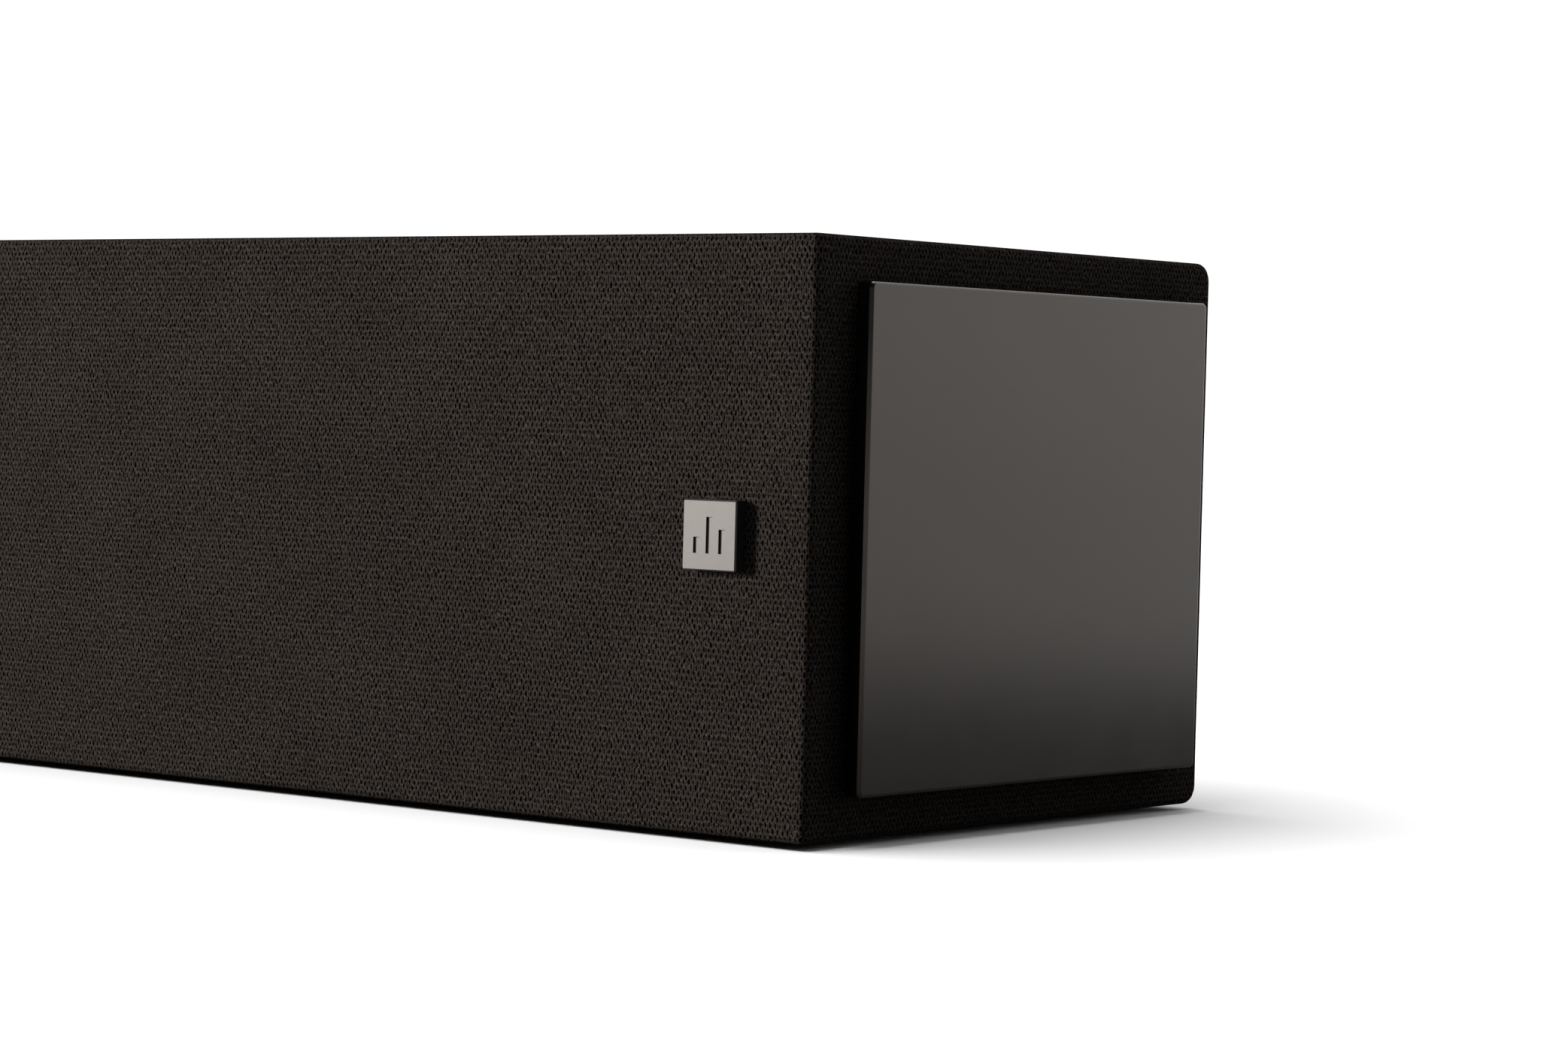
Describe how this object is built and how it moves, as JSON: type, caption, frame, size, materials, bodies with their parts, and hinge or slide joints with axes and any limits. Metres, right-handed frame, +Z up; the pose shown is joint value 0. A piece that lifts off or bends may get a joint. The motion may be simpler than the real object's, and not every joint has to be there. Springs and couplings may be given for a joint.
{
  "type": "soundbar",
  "caption": "Long cloth-wrapped soundbar with raised flat end panels, a small metal badge, top push buttons and a rear socket recess.",
  "frame": {"origin": "middle of the bar's outline, on the surface that it stands on", "axes": "+X along the bar towards the right end as seen from the front, -Y is the front, +Z up"},
  "size_m": [0.914, 0.179, 0.15],
  "materials": {
    "cloth": "knitted, matt",
    "badge_metal": "satin",
    "end_panel_satin": "satin",
    "board_wood": "raw fibreboard",
    "frame_plastic": "moulded",
    "black_plastic": "fine moulded texture",
    "button_plastic": "soft touch",
    "foot_rubber": "matt",
    "basket_steel": "pressed and painted",
    "magnet_steel": "plated",
    "cone_paper": "pulp",
    "suspension_rubber": "matt",
    "dome_silk": "coated",
    "screw_steel": "zinc plated",
    "insert_brass": "turned",
    "heatsink_aluminium": "black anodised",
    "board_green": "solder mask",
    "socket_steel": "plated",
    "socket_gold": "plated",
    "lens_plastic": "tinted"
  },
  "bodies": {
    "cabinet": {"amplifier_board": "board_green", "aux_socket": "black_plastic", "badge": "badge_metal", "board_screws": "screw_steel", "cabinet_shell": "board_wood", "chamber_divider_left": "board_wood", "chamber_divider_right": "board_wood", "control_board": "board_green", "control_panel": "black_plastic", "driver_screws": "screw_steel", "end_panel_left": "end_panel_satin", "end_panel_right": "end_panel_satin", "end_panel_screws": "screw_steel", "fabric_sleeve": "cloth", "foot_back_left": "foot_rubber", "foot_back_right": "foot_rubber", "foot_front_left": "foot_rubber", "foot_front_right": "foot_rubber", "front_baffle": "board_wood", "grille_frame": "frame_plastic", "hdmi_socket": "socket_steel", "heatsink": "heatsink_aluminium", "input_board": "board_green", "mains_inlet": "black_plastic", "power_supply_board": "board_green", "rear_panel": "black_plastic", "rear_panel_screws": "screw_steel", "remote_sensor": "lens_plastic", "subwoofer_socket": "socket_gold", "tweeter_1_faceplate": "basket_steel", "tweeter_2_faceplate": "basket_steel", "tweeter_3_faceplate": "basket_steel", "tweeter_magnets": "magnet_steel", "tweeter_surrounds": "suspension_rubber", "usb_socket": "socket_steel", "wall_inserts": "insert_brass", "woofer_1_frame": "basket_steel", "woofer_1_magnet": "magnet_steel", "woofer_1_suspension": "suspension_rubber", "woofer_2_frame": "basket_steel", "woofer_2_magnet": "magnet_steel", "woofer_2_suspension": "suspension_rubber", "woofer_3_frame": "basket_steel", "woofer_3_magnet": "magnet_steel", "woofer_3_suspension": "suspension_rubber", "woofer_4_frame": "basket_steel", "woofer_4_magnet": "magnet_steel", "woofer_4_suspension": "suspension_rubber"},
    "woofer_1_cone": {"woofer_1_cone": "cone_paper"},
    "woofer_2_cone": {"woofer_2_cone": "cone_paper"},
    "woofer_3_cone": {"woofer_3_cone": "cone_paper"},
    "woofer_4_cone": {"woofer_4_cone": "cone_paper"},
    "tweeter_1_dome": {"tweeter_1_dome": "dome_silk"},
    "tweeter_2_dome": {"tweeter_2_dome": "dome_silk"},
    "tweeter_3_dome": {"tweeter_3_dome": "dome_silk"},
    "button_power": {"button_power": "button_plastic"},
    "button_source": {"button_source": "button_plastic"},
    "button_volume_down": {"button_volume_down": "button_plastic"},
    "button_volume_up": {"button_volume_up": "button_plastic"},
    "button_pairing": {"button_pairing": "button_plastic"}
  },
  "joints": [
    {"name": "woofer_1_stroke", "type": "slide", "parent": "cabinet", "child": "woofer_1_cone", "axis": [0, -1, 0], "range_m": [-0.004, 0.004], "stiffness_N_per_m": 900, "deforming": ["woofer_1_suspension"]},
    {"name": "woofer_2_stroke", "type": "slide", "parent": "cabinet", "child": "woofer_2_cone", "axis": [0, -1, 0], "range_m": [-0.004, 0.004], "stiffness_N_per_m": 900, "deforming": ["woofer_2_suspension"]},
    {"name": "woofer_3_stroke", "type": "slide", "parent": "cabinet", "child": "woofer_3_cone", "axis": [0, -1, 0], "range_m": [-0.004, 0.004], "stiffness_N_per_m": 900, "deforming": ["woofer_3_suspension"]},
    {"name": "woofer_4_stroke", "type": "slide", "parent": "cabinet", "child": "woofer_4_cone", "axis": [0, -1, 0], "range_m": [-0.004, 0.004], "stiffness_N_per_m": 900, "deforming": ["woofer_4_suspension"]},
    {"name": "tweeter_1_stroke", "type": "slide", "parent": "cabinet", "child": "tweeter_1_dome", "axis": [0, -1, 0], "range_m": [-0.0004, 0.0004], "stiffness_N_per_m": 2000, "deforming": ["tweeter_surrounds"]},
    {"name": "tweeter_2_stroke", "type": "slide", "parent": "cabinet", "child": "tweeter_2_dome", "axis": [0, -1, 0], "range_m": [-0.0004, 0.0004], "stiffness_N_per_m": 2000, "deforming": ["tweeter_surrounds"]},
    {"name": "tweeter_3_stroke", "type": "slide", "parent": "cabinet", "child": "tweeter_3_dome", "axis": [0, -1, 0], "range_m": [-0.0004, 0.0004], "stiffness_N_per_m": 2000, "deforming": ["tweeter_surrounds"]},
    {"name": "button_power_press", "type": "slide", "parent": "cabinet", "child": "button_power", "axis": [0, 0, -1], "range_m": [0, 0.0006], "stiffness_N_per_m": 1500},
    {"name": "button_source_press", "type": "slide", "parent": "cabinet", "child": "button_source", "axis": [0, 0, -1], "range_m": [0, 0.0006], "stiffness_N_per_m": 1500},
    {"name": "button_volume_down_press", "type": "slide", "parent": "cabinet", "child": "button_volume_down", "axis": [0, 0, -1], "range_m": [0, 0.0006], "stiffness_N_per_m": 1500},
    {"name": "button_volume_up_press", "type": "slide", "parent": "cabinet", "child": "button_volume_up", "axis": [0, 0, -1], "range_m": [0, 0.0006], "stiffness_N_per_m": 1500},
    {"name": "button_pairing_press", "type": "slide", "parent": "cabinet", "child": "button_pairing", "axis": [0, 0, -1], "range_m": [0, 0.0006], "stiffness_N_per_m": 1500}
  ]
}
